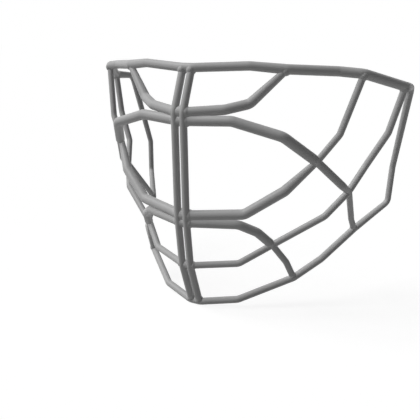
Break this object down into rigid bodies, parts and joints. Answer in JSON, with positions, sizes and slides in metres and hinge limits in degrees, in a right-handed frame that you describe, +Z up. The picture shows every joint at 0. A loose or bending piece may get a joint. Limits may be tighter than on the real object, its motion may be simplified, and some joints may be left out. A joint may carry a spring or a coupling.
{
  "type": "goalie mask cage",
  "caption": "Welded wire cage of an ice hockey goalie mask, with cat-eye openings between bent round wires, held on its shell by clips on the rim.",
  "frame": {"origin": "middle of the rim's crown, on the wire's centre line, where the forehead clip holds the cage", "axes": "+X to the wearer's left, -Y out of the face to the front, +Z up to the forehead"},
  "size_m": [0.2494, 0.1287, 0.175],
  "materials": {
    "wire": "satin grey powder coat on steel wire",
    "weld": "satin grey powder coat on weld beads"
  },
  "bodies": {
    "root": {"rim": "wire", "centre_bar_left": "wire", "centre_bar_right": "wire", "upper_eye_wire": "wire", "brow_wire": "wire", "temple_wire": "wire", "jaw_wire": "wire", "mouth_wire": "wire", "brow_centre_weld": "weld", "nose_centre_weld": "weld", "mouth_centre_weld": "weld", "bar_crown_weld_left": "weld", "bar_crown_weld_right": "weld", "bar_chin_weld_left": "weld", "bar_chin_weld_right": "weld", "upper_eye_end_weld_left": "weld", "upper_eye_end_weld_right": "weld", "brow_end_weld_left": "weld", "brow_end_weld_right": "weld", "temple_end_weld_left": "weld", "temple_end_weld_right": "weld", "mouth_end_weld_left": "weld", "mouth_end_weld_right": "weld", "jaw_end_weld_left": "weld", "jaw_end_weld_right": "weld"}
  },
  "joints": []
}
